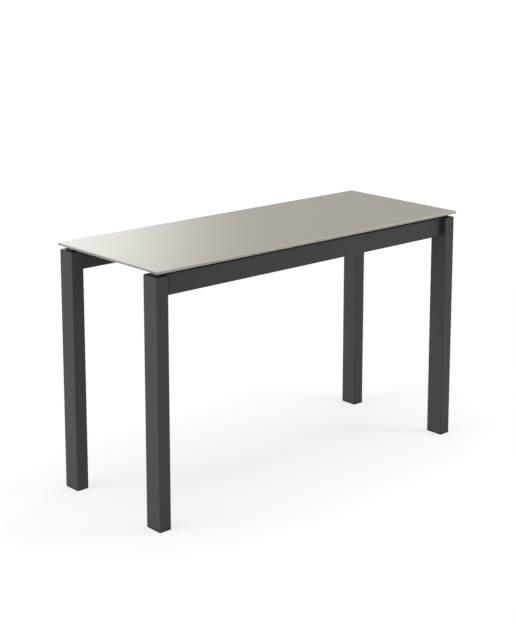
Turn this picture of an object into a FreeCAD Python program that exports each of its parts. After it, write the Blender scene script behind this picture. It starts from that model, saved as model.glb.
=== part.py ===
import FreeCAD, Part
import math
import os
import re
import Sketcher

# Glass extending table. A painted glass top stands on four corner legs, joined along the
# two long sides by aprons. Two glass leaves lie under the top and draw out of the open
# short ends on telescopic slides. Millimetres, +X along the length, +Y along the width,
# +Z up, origin on the floor under the middle of the top.

SIZES = {
    # Table top
    "top_length": 1200.0,
    "top_width": 470.0,
    "table_height": 740.0,
    "glass_thickness": 8.0,
    "glass_corner": 4.0,
    "glass_arris": 1.2,
    # Legs with their caps and foot plugs
    "leg_width": 40.0,
    "leg_depth": 60.0,
    "end_overhang": 3.0,
    "side_overhang": 8.0,
    "tube_wall": 2.0,
    "tube_corner": 3.0,
    "plug_clearance": 0.2,
    "foot_flange": 4.0,
    "foot_insert": 25.0,
    "cap_insert": 18.0,
    "boss_width": 20.0,
    "boss_depth": 30.0,
    "boss_corner": 3.0,
    "adhesive_thickness": 1.0,
    "adhesive_margin": 1.5,
    # Aprons and the connectors at their ends
    "apron_height": 60.0,
    "apron_thickness": 25.0,
    "apron_wall": 1.5,
    "collar_length": 14.0,
    "collar_inset": 1.0,
    "tongue_length": 40.0,
    "ear_thickness": 5.0,
    "ear_edge_gap": 2.0,
    "ear_lift": 5.0,
    "bolt_spacing": 20.0,
    "nut_plate_thickness": 3.0,
    "nut_plate_width": 14.0,
    "nut_plate_cap_gap": 3.0,
    # Bolts and screws
    "bolt_radius": 3.0,
    "bolt_head_radius": 5.0,
    "bolt_head_height": 3.5,
    "bolt_socket_radius": 2.2,
    "screw_radius": 2.0,
    "screw_head_radius": 3.5,
    "screw_head_height": 2.5,
    "screw_socket_radius": 1.5,
    "socket_floor": 1.0,
    "hole_clearance": 0.1,
    "drill_over": 1.0,
    "screw_bite": 6.0,
    # Cross rails and slide rails
    "cross_rail_width": 40.0,
    "cross_rail_height": 20.0,
    "cross_rail_wall": 1.5,
    "cross_rail_setback": 175.0,
    "rail_thickness": 3.0,
    "rail_apron_gap": 3.0,
    "rail_slide_gap": 0.5,
    # Telescopic slides
    "slide_length": 350.0,
    "slide_setback": 120.0,
    "slide_height": 35.0,
    "slide_depth": 14.0,
    "slide_wall": 1.5,
    "slide_lip": 4.0,
    "slide_play": 0.4,
    "slide_leaf_gap": 3.0,
    "slide_leg_gap": 10.0,
    "slide_screw_inset": 75.0,
    # Leaves and what carries them
    "leaf_length": 450.0,
    "leaf_thickness": 8.0,
    "leaf_corner": 6.0,
    "leaf_setback": 26.0,
    "leaf_top_gap": 1.5,
    "leaf_leg_gap": 1.5,
    "leaf_side_gap": 6.0,
    "bearer_thickness": 3.0,
    "bearer_flange": 25.0,
    "bearer_slide_gap": 1.0,
    "bearer_rail_gap": 2.0,
    "tie_bar_width": 20.0,
    "tie_bar_height": 12.0,
    "tie_bar_wall": 1.5,
    "stop_radius": 8.0,
    "stop_gap": 0.3,
}

SIDES = {"left": -1, "right": 1}
DEPTHS = {"front": -1, "rear": 1}

# Places worked out from the sizes. Distances along X and Y are counted from the middle of
# the table, so a sign in front of one puts a piece on its own side.
LEG_X = "(top_length / 2 - end_overhang - leg_width / 2)"
LEG_Y = "(top_width / 2 - side_overhang - leg_depth / 2)"
LEG_INNER_X = f"({LEG_X} - leg_width / 2)"
LEG_INNER_Y = f"({LEG_Y} - leg_depth / 2)"
GLASS_UNDER = "(table_height - glass_thickness)"
LEAF_UNDER = f"({GLASS_UNDER} - leaf_top_gap - leaf_thickness)"
LEG_TOP = f"({LEAF_UNDER} - leaf_leg_gap)"
GLASS_GAP = f"({GLASS_UNDER} - {LEG_TOP})"
PLUG_WIDTH = "(leg_width - 2 * tube_wall - 2 * plug_clearance)"
PLUG_DEPTH = "(leg_depth - 2 * tube_wall - 2 * plug_clearance)"
APRON_INNER_Y = f"({LEG_Y} - apron_thickness / 2)"
APRON_MID_Z = f"({LEG_TOP} - apron_height / 2)"
APRON_END_X = f"({LEG_INNER_X} - collar_length)"
EAR_NEAR_Y = f"({LEG_INNER_Y} + ear_edge_gap)"
BOLT_Y = f"(({EAR_NEAR_Y} + {APRON_INNER_Y} + collar_inset) / 2)"
NUT_PLATE_TOP = f"({LEG_TOP} - cap_insert - nut_plate_cap_gap)"
UPPER_BOLT_Z = f"({NUT_PLATE_TOP} - nut_plate_width / 2)"
RAIL_FACE_Y = f"({LEG_INNER_Y} - slide_leg_gap)"
RAIL_BACK_Y = f"({RAIL_FACE_Y} + rail_thickness)"
RAIL_EDGE_Y = f"({APRON_INNER_Y} - rail_apron_gap)"
SLIDE_X = "(top_length / 2 - slide_setback - slide_length / 2)"
SLIDE_TOP = f"({LEAF_UNDER} - slide_leaf_gap)"
SLIDE_MID_Z = f"({SLIDE_TOP} - slide_height / 2)"
RAIL_SEAT_Z = f"({SLIDE_TOP} - slide_height - rail_slide_gap)"
CROSS_TOP = f"({RAIL_SEAT_Z} - rail_thickness)"
CROSS_X = "(top_length / 2 - cross_rail_setback - cross_rail_width / 2)"
CROSS_OUTER_X = f"({CROSS_X} + cross_rail_width / 2)"
SLIDE_NOSE_Y = f"({RAIL_FACE_Y} - slide_depth)"
BEARER_OUTER_Y = f"({SLIDE_NOSE_Y} - bearer_slide_gap)"
BEARER_INNER_Y = f"({BEARER_OUTER_Y} - bearer_thickness)"
BEARER_TOP = f"({LEAF_UNDER} - adhesive_thickness)"
BEARER_UNDER = f"({CROSS_TOP} + bearer_rail_gap)"
TIE_TOP = f"({BEARER_TOP} - bearer_thickness)"
TIE_MID_Z = f"({TIE_TOP} - tie_bar_height / 2)"
LEAF_X = "(top_length / 2 - leaf_setback - leaf_length / 2)"
LEAF_WIDTH = f"(2 * ({LEG_Y} - boss_depth / 2 - leaf_side_gap))"

doc = FreeCAD.newDocument("glass_extending_table")
sheet = doc.addObject("Spreadsheet::Sheet", "Sizes")
for row, (alias, number) in enumerate(SIZES.items(), start=1):
    sheet.set(f"A{row}", str(number))
    sheet.setAlias(f"A{row}", alias)
doc.recompute()

nodes = []


def expression(text):
    """The same text with every named size read from the sheet."""
    return re.sub(r"[a-z_]+", lambda word: sheet_name(word.group()), text)


def sheet_name(word):
    """A size's name as the sheet gives it, or the word itself."""
    return f"Sizes.{word}" if word in SIZES else word


def amount(text):
    """The number that an expression gives now, used to draw a sketch near its final shape."""
    return float(sheet.evalExpression(expression(text)))


def bind(item, **sizes):
    """Tie properties of an object to expressions of the named sizes."""
    for name, text in sizes.items():
        item.setExpression(name, expression(text))


def place(item, x="0", y="0", z="0", facing=None):
    """Set an object's place from expressions, with its own Z turned to the facing direction."""
    if facing:
        item.Placement.Rotation = FreeCAD.Rotation(FreeCAD.Vector(0, 0, 1), FreeCAD.Vector(*facing))
    for axis, text in zip("xyz", (x, y, z)):
        item.setExpression(f"Placement.Base.{axis}", expression(text))


def keep(item, label):
    """Name an object as a piece of the table."""
    item.Label = label
    nodes.append(item)
    return item


def group(label, members):
    """One piece holding separate solids that are alike."""
    item = doc.addObject("Part::Compound", f"{label}_group")
    item.Links = members
    return keep(item, label)


def between(near, far, sign=1):
    """Middle and extent of the stretch from near to far, on the side that the sign gives."""
    return f"{sign} * (({near}) + ({far})) / 2", f"(({far}) - ({near}))"


def about(middle, extent):
    """Middle and extent of a stretch centred on a place."""
    return middle, f"({extent})"


def block(name, along_x, along_y, along_z):
    """Box from its middle and extent along each axis."""
    item = doc.addObject("Part::Box", name)
    bind(item, Length=along_x[1], Width=along_y[1], Height=along_z[1])
    place(item, *(f"{middle} - {extent} / 2" for middle, extent in (along_x, along_y, along_z)))
    return item


def rod(name, facing, radius, length, x, y, z):
    """Round bar that starts at a point and runs in the facing direction."""
    item = doc.addObject("Part::Cylinder", name)
    bind(item, Radius=radius, Height=length)
    place(item, x, y, z, facing)
    return item


def fuse(name, members):
    """One solid made of overlapping ones."""
    item = doc.addObject("Part::MultiFuse", name)
    item.Shapes = members
    item.Refine = True
    return item


def cut(name, base, tools):
    """A solid with other solids taken away from it."""
    waste = doc.addObject("Part::Compound", f"{name}_waste")
    waste.Links = tools
    item = doc.addObject("Part::Cut", name)
    item.Base = base
    item.Tool = waste
    return item


def fastener(name, kind, facing, x, y, z, reach):
    """Socket head bolt or screw seated at a point, and the hole that it needs.

    The head stands on the seat in the facing direction and the shank goes the other way.
    """
    away = tuple(-part for part in facing)
    seat = (x, y, z)
    floor = [f"{text} + {part} * socket_floor" for text, part in zip(seat, facing)]
    mouth = [f"{text} + {part} * drill_over" for text, part in zip(seat, facing)]
    shank = rod(f"{name}_shank", away, f"{kind}_radius", reach, *seat)
    head = rod(f"{name}_head", facing, f"{kind}_head_radius", f"{kind}_head_height", *seat)
    socket = doc.addObject("Part::Prism", f"{name}_socket")
    socket.Polygon = 6
    bind(socket, Circumradius=f"{kind}_socket_radius", Height=f"{kind}_head_height")
    place(socket, *floor, facing)
    depth = f"{reach} + 2 * drill_over"
    hole = rod(f"{name}_hole", away, f"{kind}_radius + hole_clearance", depth, *mouth)
    return cut(name, fuse(f"{name}_blank", [head, shank]), [socket]), hole


def new_sketch(body, name, plane):
    """Sketch on one of a body's own origin planes."""
    sketch = body.newObject("Sketcher::SketchObject", name)
    support = next(item for item in body.Origin.OriginFeatures if item.Role == plane)
    sketch.AttachmentSupport = [(support, "")]
    sketch.MapMode = "FlatFace"
    return sketch


def dimension(sketch, name, constraint, text):
    """Named dimension of a sketch, tied to an expression."""
    index = sketch.addConstraint(constraint)
    sketch.renameConstraint(index, name)
    sketch.setExpression(f"Constraints.{name}", expression(text))


def draw_rectangle(sketch, name, width, height):
    """Rectangle centred on the sketch's origin."""
    half_width = amount(width) / 2
    half_height = amount(height) / 2
    first = sketch.GeometryCount
    turns = [(1, 1), (-1, 1), (-1, -1), (1, -1)]
    corners = [FreeCAD.Vector(a * half_width, b * half_height, 0) for a, b in turns]
    for index, corner in enumerate(corners):
        sketch.addGeometry(Part.LineSegment(corner, corners[(index + 1) % 4]))
    for index in range(4):
        following = first + (index + 1) % 4
        sketch.addConstraint(Sketcher.Constraint("Coincident", first + index, 2, following, 1))
        direction = "Vertical" if index % 2 else "Horizontal"
        sketch.addConstraint(Sketcher.Constraint(direction, first + index))
    sketch.addConstraint(Sketcher.Constraint("Symmetric", first, 1, first + 2, 1, -1, 1))
    across = Sketcher.Constraint("DistanceX", first, 2, first, 1, 2 * half_width)
    dimension(sketch, f"{name}_width", across, width)
    upright = Sketcher.Constraint("DistanceY", first + 1, 2, first + 1, 1, 2 * half_height)
    dimension(sketch, f"{name}_height", upright, height)


def draw_rounded(sketch, name, width, height, corner):
    """Rectangle with round corners, centred on the sketch's origin."""
    half_width = amount(width) / 2
    half_height = amount(height) / 2
    radius = amount(corner)
    first = sketch.GeometryCount
    turns = [(1, 1), (-1, 1), (-1, -1), (1, -1)]
    up = FreeCAD.Vector(0, 0, 1)
    quarter = math.pi / 2
    for index, (a, b) in enumerate(turns):
        centre = FreeCAD.Vector(a * (half_width - radius), b * (half_height - radius), 0)
        circle = Part.Circle(centre, up, radius)
        sketch.addGeometry(Part.ArcOfCircle(circle, index * quarter, (index + 1) * quarter))
    for index in range(4):
        start = sketch.getPoint(first + index, 2)
        end = sketch.getPoint(first + (index + 1) % 4, 1)
        sketch.addGeometry(Part.LineSegment(start, end))
    sides = first + 4
    for index in range(4):
        following = first + (index + 1) % 4
        sketch.addConstraint(Sketcher.Constraint("Tangent", first + index, 2, sides + index, 1))
        sketch.addConstraint(Sketcher.Constraint("Tangent", sides + index, 2, following, 1))
        direction = "Vertical" if index % 2 else "Horizontal"
        sketch.addConstraint(Sketcher.Constraint(direction, sides + index))
    for index in range(1, 4):
        sketch.addConstraint(Sketcher.Constraint("Equal", first, first + index))
    sketch.addConstraint(Sketcher.Constraint("Symmetric", first, 3, first + 2, 3, -1, 1))
    dimension(sketch, f"{name}_corner", Sketcher.Constraint("Radius", first, radius), corner)
    across = Sketcher.Constraint("DistanceX", sides + 1, 1, sides + 3, 1, 2 * half_width)
    dimension(sketch, f"{name}_width", across, width)
    upright = Sketcher.Constraint("DistanceY", sides + 2, 1, sides, 1, 2 * half_height)
    dimension(sketch, f"{name}_height", upright, height)


def pad(body, name, sketch, length, side="One side", downwards=False):
    """Thicken a sketch, to one side of its plane or equally to both."""
    item = body.newObject("PartDesign::Pad", name)
    item.Profile = sketch
    item.SideType = side
    item.Reversed = downwards
    bind(item, Length=length)
    return item


def tube(name, plane, width, height, wall, length, side="One side"):
    """Rectangular tube with round outer corners, its section drawn on the given plane."""
    body = doc.addObject("PartDesign::Body", name)
    section = new_sketch(body, f"{name}_section", plane)
    draw_rounded(section, "outer", width, height, "tube_corner")
    draw_rectangle(section, "bore", f"{width} - 2 * {wall}", f"{height} - 2 * {wall}")
    pad(body, f"{name}_pad", section, length, side)
    return body


def pane(label, length, width, thickness, corner, x, z):
    """Glass pane with round corners and an arris along every long edge."""
    body = doc.addObject("PartDesign::Body", f"{label}_body")
    outline = new_sketch(body, f"{label}_outline", "XY_Plane")
    draw_rounded(outline, "outline", length, width, corner)
    sheet_pad = pad(body, f"{label}_pad", outline, thickness)
    doc.recompute()
    rims = [
        f"Edge{index}"
        for index, edge in enumerate(sheet_pad.Shape.Edges, start=1)
        if edge.BoundBox.ZLength < sheet_pad.Length.Value / 2
    ]
    arris = body.newObject("PartDesign::Chamfer", f"{label}_arris")
    arris.Base = (sheet_pad, rims)
    bind(arris, Size="glass_arris")
    place(body, x, "0", z)
    return keep(body, label)


def leg(name, sx, sy, bolt_holes):
    """Leg tube, drilled in its inner face for the two connector bolts."""
    size = ("leg_width", "leg_depth", "tube_wall")
    blank = tube(f"{name}_tube", "XY_Plane", *size, f"{LEG_TOP} - foot_flange")
    place(blank, f"{sx} * {LEG_X}", f"{sy} * {LEG_Y}", "foot_flange")
    keep(cut(f"{name}_drilled", blank, bolt_holes), name)


def leg_cap(name, sx, sy):
    """Cap pushed into the top of a leg, with the boss that carries the glass."""
    body = doc.addObject("PartDesign::Body", f"{name}_body")
    insert = new_sketch(body, f"{name}_insert", "XY_Plane")
    draw_rectangle(insert, "insert", PLUG_WIDTH, PLUG_DEPTH)
    pad(body, f"{name}_insert_pad", insert, "cap_insert", downwards=True)
    boss = new_sketch(body, f"{name}_boss", "XY_Plane")
    draw_rounded(boss, "boss", "boss_width", "boss_depth", "boss_corner")
    pad(body, f"{name}_boss_pad", boss, f"{GLASS_GAP} - adhesive_thickness")
    place(body, f"{sx} * {LEG_X}", f"{sy} * {LEG_Y}", LEG_TOP)
    keep(body, name)


def foot_plug(name, sx, sy):
    """Plug pushed into the bottom of a leg, with the flange that stands on the floor."""
    body = doc.addObject("PartDesign::Body", f"{name}_body")
    flange = new_sketch(body, f"{name}_flange", "XY_Plane")
    draw_rounded(flange, "flange", "leg_width", "leg_depth", "tube_corner")
    pad(body, f"{name}_flange_pad", flange, "foot_flange")
    insert = new_sketch(body, f"{name}_insert", "XY_Plane")
    draw_rectangle(insert, "insert", PLUG_WIDTH, PLUG_DEPTH)
    pad(body, f"{name}_insert_pad", insert, "foot_flange + foot_insert")
    place(body, f"{sx} * {LEG_X}", f"{sy} * {LEG_Y}")
    keep(body, name)


def glass_adhesive(name, sx, sy):
    """Adhesive pad between a cap's boss and the glass."""
    return block(
        name,
        about(f"{sx} * {LEG_X}", "boss_width - 2 * adhesive_margin"),
        about(f"{sy} * {LEG_Y}", "boss_depth - 2 * adhesive_margin"),
        between(f"{GLASS_UNDER} - adhesive_thickness", GLASS_UNDER),
    )


def connector_bolts(name, sx, sy):
    """Two bolts that hold a connector's ear to its leg, with their holes."""
    reach = "ear_thickness + tube_wall + nut_plate_thickness"
    bolts = []
    holes = []
    for level, drop in (("upper", 0), ("lower", 1)):
        bolt, hole = fastener(
            f"{name}_{level}",
            "bolt",
            (-sx, 0, 0),
            f"{sx} * ({LEG_INNER_X} - ear_thickness)",
            f"{sy} * {BOLT_Y}",
            f"{UPPER_BOLT_Z} - {drop} * bolt_spacing",
            reach,
        )
        bolts.append(bolt)
        holes.append(hole)
    return bolts, holes


def tongue_screw(name, sx, sy):
    """Screw through the apron's upper wall into a connector's tongue, with its hole."""
    return fastener(
        name,
        "screw",
        (0, 0, 1),
        f"{sx} * ({APRON_END_X} - tongue_length / 2)",
        f"{sy} * {LEG_Y}",
        LEG_TOP,
        "apron_wall + plug_clearance + screw_bite",
    )


def apron_connector(name, sx, sy, holes):
    """Connector with a tongue in the apron, a collar between apron and leg, and a bolted ear."""
    collar_y = about(f"{sy} * {LEG_Y}", "apron_thickness - 2 * collar_inset")
    collar_z = about(APRON_MID_Z, "apron_height - 2 * collar_inset")
    tongue_y = about(f"{sy} * {LEG_Y}", "apron_thickness - 2 * apron_wall - 2 * plug_clearance")
    tongue_z = about(APRON_MID_Z, "apron_height - 2 * apron_wall - 2 * plug_clearance")
    collar = block(f"{name}_collar", between(APRON_END_X, LEG_INNER_X, sx), collar_y, collar_z)
    tongue = block(
        f"{name}_tongue",
        between(f"{APRON_END_X} - tongue_length", LEG_INNER_X, sx),
        tongue_y,
        tongue_z,
    )
    ear = block(
        f"{name}_ear",
        between(f"{LEG_INNER_X} - ear_thickness", LEG_INNER_X, sx),
        between(EAR_NEAR_Y, LEG_Y, sy),
        between(f"{LEG_TOP} - apron_height + collar_inset + ear_lift", f"{LEG_TOP} - collar_inset"),
    )
    keep(cut(f"{name}_drilled", fuse(f"{name}_blank", [collar, tongue, ear]), holes), name)


def nut_plate(name, sx, sy, holes):
    """Plate inside a leg that the connector bolts screw into."""
    wall = f"({LEG_INNER_X} + tube_wall)"
    blank = block(
        f"{name}_blank",
        between(wall, f"{wall} + nut_plate_thickness", sx),
        about(f"{sy} * {BOLT_Y}", "nut_plate_width"),
        between(f"{NUT_PLATE_TOP} - bolt_spacing - nut_plate_width", NUT_PLATE_TOP),
    )
    return cut(name, blank, holes)


def apron(name, sy, holes):
    """Apron tube between the connectors of two legs."""
    size = ("apron_thickness", "apron_height", "apron_wall")
    blank = tube(f"{name}_tube", "YZ_Plane", *size, f"2 * {APRON_END_X}", "Symmetric")
    place(blank, "0", f"{sy} * {LEG_Y}", APRON_MID_Z)
    keep(cut(f"{name}_drilled", blank, holes), name)


def cross_rail(name, x, holes):
    """Cross rail tube between the inner faces of the aprons."""
    size = ("cross_rail_width", "cross_rail_height", "cross_rail_wall")
    blank = tube(f"{name}_tube", "XZ_Plane", *size, f"2 * {APRON_INNER_Y}", "Symmetric")
    place(blank, x, "0", f"{CROSS_TOP} - cross_rail_height / 2")
    keep(cut(f"{name}_drilled", blank, holes), name)


def rail_screw(name, x, sy):
    """Screw through a slide rail's flange into a cross rail, with its hole."""
    return fastener(
        name,
        "screw",
        (0, 0, 1),
        x,
        f"{sy} * ({RAIL_BACK_Y} + {RAIL_EDGE_Y}) / 2",
        RAIL_SEAT_Z,
        "rail_thickness + cross_rail_wall + screw_bite",
    )


def slide_rail(name, sy, holes):
    """Angle section on the cross rails, whose upright web carries the slides of one long side."""
    along = about("0", "top_length - 2 * slide_setback")
    flange = block(
        f"{name}_flange",
        along,
        between(RAIL_FACE_Y, RAIL_EDGE_Y, sy),
        between(CROSS_TOP, RAIL_SEAT_Z),
    )
    web = block(
        f"{name}_web",
        along,
        between(RAIL_FACE_Y, RAIL_BACK_Y, sy),
        between(CROSS_TOP, SLIDE_TOP),
    )
    keep(cut(f"{name}_drilled", fuse(f"{name}_blank", [flange, web]), holes), name)


def slide_screw_places(sx):
    """The two places along a slide where it is screwed."""
    inset = "(slide_length / 2 - slide_screw_inset)"
    return [f"{sx} * ({SLIDE_X} {sign} {inset})" for sign in "-+"]


def outer_screws(name, sx, sy):
    """Screws through a slide rail's web into a slide's outer member, with their holes."""
    pairs = [
        fastener(
            f"{name}_{index}",
            "screw",
            (0, sy, 0),
            x,
            f"{sy} * {RAIL_BACK_Y}",
            SLIDE_MID_Z,
            "rail_thickness + slide_wall",
        )
        for index, x in enumerate(slide_screw_places(sx), start=1)
    ]
    return list(zip(*pairs))


def bearer_screws(name, sx, sy):
    """Screws through a leaf bearer into a slide's inner member, with their holes."""
    pairs = [
        fastener(
            f"{name}_{index}",
            "screw",
            (0, -sy, 0),
            x,
            f"{sy} * {BEARER_INNER_Y}",
            SLIDE_MID_Z,
            "bearer_thickness + bearer_slide_gap + screw_bite",
        )
        for index, x in enumerate(slide_screw_places(sx), start=1)
    ]
    return list(zip(*pairs))


def lipped_channel(name, sx, sy, inset, holes):
    """Channel open towards the middle of the table, with lips that hold the member inside it.

    The inset is how far the channel's outside lies within the slide's own section.
    """
    along = about(f"{sx} * {SLIDE_X}", "slide_length")
    over = about(f"{sx} * {SLIDE_X}", "slide_length + 2 * drill_over")
    height = f"slide_height - 2 * ({inset})"
    nose = f"({SLIDE_NOSE_Y} + {inset})"
    back = f"({RAIL_FACE_Y} - ({inset}))"
    skin = block(f"{name}_skin", along, between(nose, back, sy), about(SLIDE_MID_Z, height))
    cavity = block(
        f"{name}_cavity",
        over,
        between(f"{nose} + slide_wall", f"{back} - slide_wall", sy),
        about(SLIDE_MID_Z, f"{height} - 2 * slide_wall"),
    )
    mouth = block(
        f"{name}_mouth",
        over,
        between(f"{nose} - drill_over", f"{nose} + 2 * slide_wall", sy),
        about(SLIDE_MID_Z, f"{height} - 2 * slide_wall - 2 * slide_lip"),
    )
    return cut(f"{name}_channel", skin, [cavity, mouth, *holes])


def slide(side, depth, outer_holes, inner_holes):
    """Telescopic slide: a fixed outer member, a middle one inside it and an inner one under the leaf."""
    sx = SIDES[side]
    sy = DEPTHS[depth]
    name = f"{side}_{depth}_slide"
    step = "(slide_wall + slide_play)"
    keep(lipped_channel(f"{name}_outer", sx, sy, "0", outer_holes), f"{name}_outer")
    keep(lipped_channel(f"{name}_middle", sx, sy, step, []), f"{name}_middle")
    along = about(f"{sx} * {SLIDE_X}", "slide_length")
    bar_height = f"slide_height - 4 * {step}"
    bar_nose = f"{SLIDE_NOSE_Y} + 2 * {step}"
    bar = block(
        f"{name}_bar",
        along,
        between(bar_nose, f"{RAIL_FACE_Y} - 2 * {step}", sy),
        about(SLIDE_MID_Z, bar_height),
    )
    stem = block(
        f"{name}_stem",
        along,
        between(BEARER_OUTER_Y, f"{bar_nose} + slide_wall", sy),
        about(SLIDE_MID_Z, f"{bar_height} - 2 * slide_lip"),
    )
    inner = cut(f"{name}_inner_drilled", fuse(f"{name}_inner_blank", [bar, stem]), inner_holes)
    keep(inner, f"{name}_inner")


def leaf_bearer(name, sx, sy, holes):
    """Angle section under a leaf, screwed to a slide's inner member."""
    along = about(f"{sx} * {SLIDE_X}", "slide_length")
    flange = block(
        f"{name}_flange",
        along,
        between(f"{BEARER_OUTER_Y} - bearer_flange", BEARER_OUTER_Y, sy),
        between(TIE_TOP, BEARER_TOP),
    )
    web = block(
        f"{name}_web",
        along,
        between(BEARER_INNER_Y, BEARER_OUTER_Y, sy),
        between(BEARER_UNDER, BEARER_TOP),
    )
    keep(cut(f"{name}_drilled", fuse(f"{name}_blank", [flange, web]), holes), name)


def leaf_adhesive(name, sx, sy):
    """Adhesive strip between a bearer's flange and the leaf."""
    edge = f"{BEARER_OUTER_Y} - adhesive_margin"
    return block(
        name,
        about(f"{sx} * {SLIDE_X}", "slide_length - 2 * adhesive_margin"),
        between(f"{BEARER_OUTER_Y} - bearer_flange + adhesive_margin", edge, sy),
        between(BEARER_TOP, LEAF_UNDER),
    )


def tie_bar(name, sx):
    """Tube between the two bearers of a leaf, which meets the stop when the leaf is in."""
    size = ("tie_bar_width", "tie_bar_height", "tie_bar_wall")
    body = tube(f"{name}_tube", "XZ_Plane", *size, f"2 * {BEARER_INNER_Y}", "Symmetric")
    place(body, f"{sx} * ({CROSS_OUTER_X} + stop_gap + tie_bar_width / 2)", "0", TIE_MID_Z)
    keep(body, name)


def leaf_stop(name, sx):
    """Rubber post on a cross rail that the tie bar meets."""
    x = f"{sx} * ({CROSS_OUTER_X} - stop_radius)"
    return rod(name, (0, 0, 1), "stop_radius", f"{TIE_MID_Z} - {CROSS_TOP}", x, "0", CROSS_TOP)


def build_frame():
    """Legs, aprons and connectors, corner by corner, with what holds them together."""
    bolts = []
    plates = []
    tongue_screws = []
    adhesive = []
    for depth, sy in DEPTHS.items():
        apron_holes = []
        for side, sx in SIDES.items():
            corner = f"{depth}_{side}"
            corner_bolts, bolt_holes = connector_bolts(f"{corner}_bolt", sx, sy)
            screw, screw_hole = tongue_screw(f"{corner}_tongue_screw", sx, sy)
            leg(f"leg_{corner}", sx, sy, bolt_holes)
            leg_cap(f"leg_cap_{corner}", sx, sy)
            foot_plug(f"foot_plug_{corner}", sx, sy)
            apron_connector(f"apron_connector_{corner}", sx, sy, [*bolt_holes, screw_hole])
            plates.append(nut_plate(f"{corner}_nut_plate", sx, sy, bolt_holes))
            adhesive.append(glass_adhesive(f"{corner}_adhesive", sx, sy))
            bolts.extend(corner_bolts)
            tongue_screws.append(screw)
            apron_holes.append(screw_hole)
        apron(f"apron_{depth}", sy, apron_holes)
    group("connector_bolts", bolts)
    group("leg_nut_plates", plates)
    group("tongue_screws", tongue_screws)
    group("glass_adhesive_pads", adhesive)


def build_rails():
    """Cross rails and the slide rails that stand on them."""
    places = {"left": f"-1 * {CROSS_X}", "centre": "0", "right": CROSS_X}
    rail_screws = []
    slide_screws = []
    rail_holes = {depth: [] for depth in DEPTHS}
    for position, x in places.items():
        cross_holes = []
        for depth, sy in DEPTHS.items():
            screw, hole = rail_screw(f"{position}_{depth}_rail_screw", x, sy)
            rail_screws.append(screw)
            cross_holes.append(hole)
            rail_holes[depth].append(hole)
        cross_rail(f"cross_rail_{position}", x, cross_holes)
    outer_holes = {}
    for depth, sy in DEPTHS.items():
        for side, sx in SIDES.items():
            screws, holes = outer_screws(f"{side}_{depth}_outer_screw", sx, sy)
            slide_screws.extend(screws)
            rail_holes[depth].extend(holes)
            outer_holes[side, depth] = holes
        slide_rail(f"slide_rail_{depth}", sy, rail_holes[depth])
    group("rail_screws", rail_screws)
    group("slide_screws", slide_screws)
    return outer_holes


def build_leaf(side, outer_holes):
    """One leaf with its slides, bearers and tie bar."""
    sx = SIDES[side]
    screws = []
    strips = []
    for depth, sy in DEPTHS.items():
        side_screws, holes = bearer_screws(f"{side}_{depth}_bearer_screw", sx, sy)
        slide(side, depth, outer_holes[side, depth], holes)
        leaf_bearer(f"{side}_{depth}_leaf_bearer", sx, sy, holes)
        strips.append(leaf_adhesive(f"{side}_{depth}_leaf_strip", sx, sy))
        screws.extend(side_screws)
    tie_bar(f"{side}_leaf_tie_bar", sx)
    size = ("leaf_length", LEAF_WIDTH, "leaf_thickness", "leaf_corner")
    pane(f"{side}_leaf_glass", *size, f"{sx} * {LEAF_X}", LEAF_UNDER)
    group(f"{side}_bearer_screws", screws)
    group(f"{side}_leaf_adhesive", strips)


def check_and_write():
    """Stop on any failed object or bad solid, then write one file for each piece."""
    failed = [item.Label for item in doc.Objects if {"Invalid", "Error"} & set(item.State)]
    if failed:
        raise RuntimeError(f"failed objects: {failed}")
    for item in nodes:
        if item.Shape.isNull() or not item.Shape.isValid() or not item.Shape.Solids:
            raise RuntimeError(f"bad solid: {item.Label}")
    os.makedirs("parts", exist_ok=True)
    for item in nodes:
        item.Shape.exportStep(f"parts/{item.Label}.step")
    print(f"{len(nodes)} pieces, {sum(len(item.Shape.Solids) for item in nodes)} solids")


pane("top_glass", "top_length", "top_width", "glass_thickness", "glass_corner", "0", GLASS_UNDER)
build_frame()
slide_holes = build_rails()
for leaf_side in SIDES:
    build_leaf(leaf_side, slide_holes)
group("leaf_stops", [leaf_stop(f"{side}_leaf_stop", sx) for side, sx in SIDES.items()])
doc.recompute()
check_and_write()
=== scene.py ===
"""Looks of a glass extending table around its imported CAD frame.

The frame is loaded first and stays as it is. Glass panes, legs, leg caps and foot plugs are
rebuilt as meshes with the soft edges of the real pieces, every other node gets its finish,
and a plain white studio with the photograph's camera stands around the table. Metres.
"""

import logging
import math
from collections.abc import Iterable, Iterator
from dataclasses import dataclass, replace
from enum import Enum
from typing import Any

import bmesh
import bpy
from mathutils import Euler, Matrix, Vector

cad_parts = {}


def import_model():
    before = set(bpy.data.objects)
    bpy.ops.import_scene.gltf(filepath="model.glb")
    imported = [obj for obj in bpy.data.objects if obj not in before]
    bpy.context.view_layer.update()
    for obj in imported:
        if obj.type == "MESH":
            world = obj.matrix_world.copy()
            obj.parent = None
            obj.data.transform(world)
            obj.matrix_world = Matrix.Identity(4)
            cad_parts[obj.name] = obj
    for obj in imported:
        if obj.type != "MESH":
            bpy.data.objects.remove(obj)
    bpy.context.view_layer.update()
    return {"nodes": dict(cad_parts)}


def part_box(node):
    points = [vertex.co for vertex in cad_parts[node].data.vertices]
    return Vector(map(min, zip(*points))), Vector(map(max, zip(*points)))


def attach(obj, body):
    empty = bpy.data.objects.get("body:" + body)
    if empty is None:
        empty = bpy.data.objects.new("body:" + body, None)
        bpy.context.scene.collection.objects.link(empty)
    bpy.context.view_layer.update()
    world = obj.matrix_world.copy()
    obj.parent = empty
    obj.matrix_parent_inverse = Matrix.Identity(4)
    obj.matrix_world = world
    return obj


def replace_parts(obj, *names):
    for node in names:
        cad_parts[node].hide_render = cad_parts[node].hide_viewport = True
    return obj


LOG = logging.getLogger("glass_table")

# An edge that turns further than this stays crisp, and no outline has a smaller corner radius.
SHARP_ANGLE = math.radians(32)
SHARPEST_CORNER = 0.0003

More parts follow.
